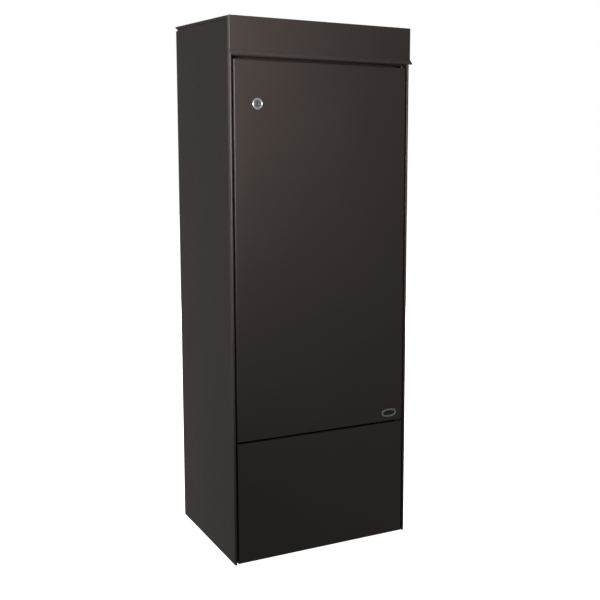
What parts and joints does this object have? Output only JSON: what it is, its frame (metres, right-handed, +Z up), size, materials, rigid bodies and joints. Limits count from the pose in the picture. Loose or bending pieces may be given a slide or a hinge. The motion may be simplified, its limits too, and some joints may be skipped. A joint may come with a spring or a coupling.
{
  "type": "parcel drop box",
  "caption": "Free-standing folded-steel parcel drop box with a lifting lid, an anti-theft drop tray, a lockable front door and a fixed plinth.",
  "frame": {"origin": "on the floor, at the centre of the rectangle of four anchor holes in the base plate", "axes": "+Z up, the door faces -Y, +X to the right as seen from the front"},
  "size_m": [0.4302, 0.3397, 1.17],
  "materials": {
    "powder_coat": "fine matt powder coat, warm black-brown",
    "zinc_steel": "dull zinc plate",
    "black_steel": "black zinc plate",
    "black_rubber": "matt",
    "bush_plastic": "matt black acetal",
    "lock_chrome": "satin nickel plate",
    "badge_metal": "satin rim round a dark face"
  },
  "bodies": {
    "cabinet": {"left_side_panel": "powder_coat", "right_side_panel": "powder_coat", "back_panel": "powder_coat", "base_plate": "zinc_steel", "compartment_floor": "powder_coat", "floor_mat": "black_rubber", "plinth_panel": "powder_coat", "plinth_screws": "black_steel", "top_rail": "powder_coat", "rear_rail": "powder_coat", "back_rivets": "powder_coat", "lid_hinge_fixed_leaf": "powder_coat", "lid_hinge_pin": "zinc_steel", "hinge_leaf_rivets": "zinc_steel", "lid_bumpers": "black_rubber", "door_seal": "black_rubber", "door_hinge_bracket_top": "black_steel", "door_hinge_bracket_bottom": "black_steel", "door_hinge_pin_top": "black_steel", "door_hinge_pin_bottom": "black_steel", "tray_bracket_left": "zinc_steel", "tray_bracket_right": "zinc_steel"},
    "door": {"door_panel": "powder_coat", "door_stiffener": "powder_coat", "door_bush_top": "bush_plastic", "door_bush_bottom": "bush_plastic", "lock_housing": "lock_chrome", "lock_nut": "zinc_steel", "badge": "badge_metal"},
    "lock_core": {"lock_plug": "lock_chrome", "lock_cam": "zinc_steel", "cam_screw": "zinc_steel"},
    "lid": {"lid_shell": "powder_coat", "lid_hinge_moving_leaf": "powder_coat", "lid_arm_left": "zinc_steel", "lid_arm_right": "zinc_steel", "lid_arm_clips": "zinc_steel"},
    "link_left": {"link_bar_left": "zinc_steel"},
    "link_right": {"link_bar_right": "zinc_steel"},
    "tray": {"drop_tray": "powder_coat", "tray_pins": "zinc_steel", "tray_clips": "zinc_steel"}
  },
  "joints": [
    {"name": "door_hinge", "type": "hinge", "parent": "cabinet", "child": "door", "pos_m": [0.1986, -0.1575, 0.667], "axis": [0, 0, 1], "range_deg": [0, 105]},
    {"name": "lock_turn", "type": "hinge", "parent": "door", "child": "lock_core", "pos_m": [-0.153, -0.164, 0.9768], "axis": [0, 1, 0], "range_deg": [0, 90]},
    {"name": "lid_hinge", "type": "hinge", "parent": "cabinet", "child": "lid", "pos_m": [0, 0.1622, 1.16568], "axis": [-1, 0, 0], "range_deg": [0, 80]},
    {"name": "tray_pivot", "type": "hinge", "parent": "cabinet", "child": "tray", "pos_m": [0, 0.14, 0.935], "axis": [-1, 0, 0], "range_deg": [0, 80]},
    {"name": "link_left_pivot", "type": "hinge", "parent": "lid", "child": "link_left", "pos_m": [-0.1987, 0.1022, 1.14568], "axis": [-1, 0, 0], "range_deg": [-80, 0]},
    {"name": "link_right_pivot", "type": "hinge", "parent": "lid", "child": "link_right", "pos_m": [0.1987, 0.1022, 1.14568], "axis": [-1, 0, 0], "range_deg": [-80, 0]}
  ],
  "couplings": [
    {"joint": "tray_pivot", "follows": "lid_hinge", "ratio": 1},
    {"joint": "link_left_pivot", "follows": "lid_hinge", "ratio": -1},
    {"joint": "link_right_pivot", "follows": "lid_hinge", "ratio": -1}
  ]
}
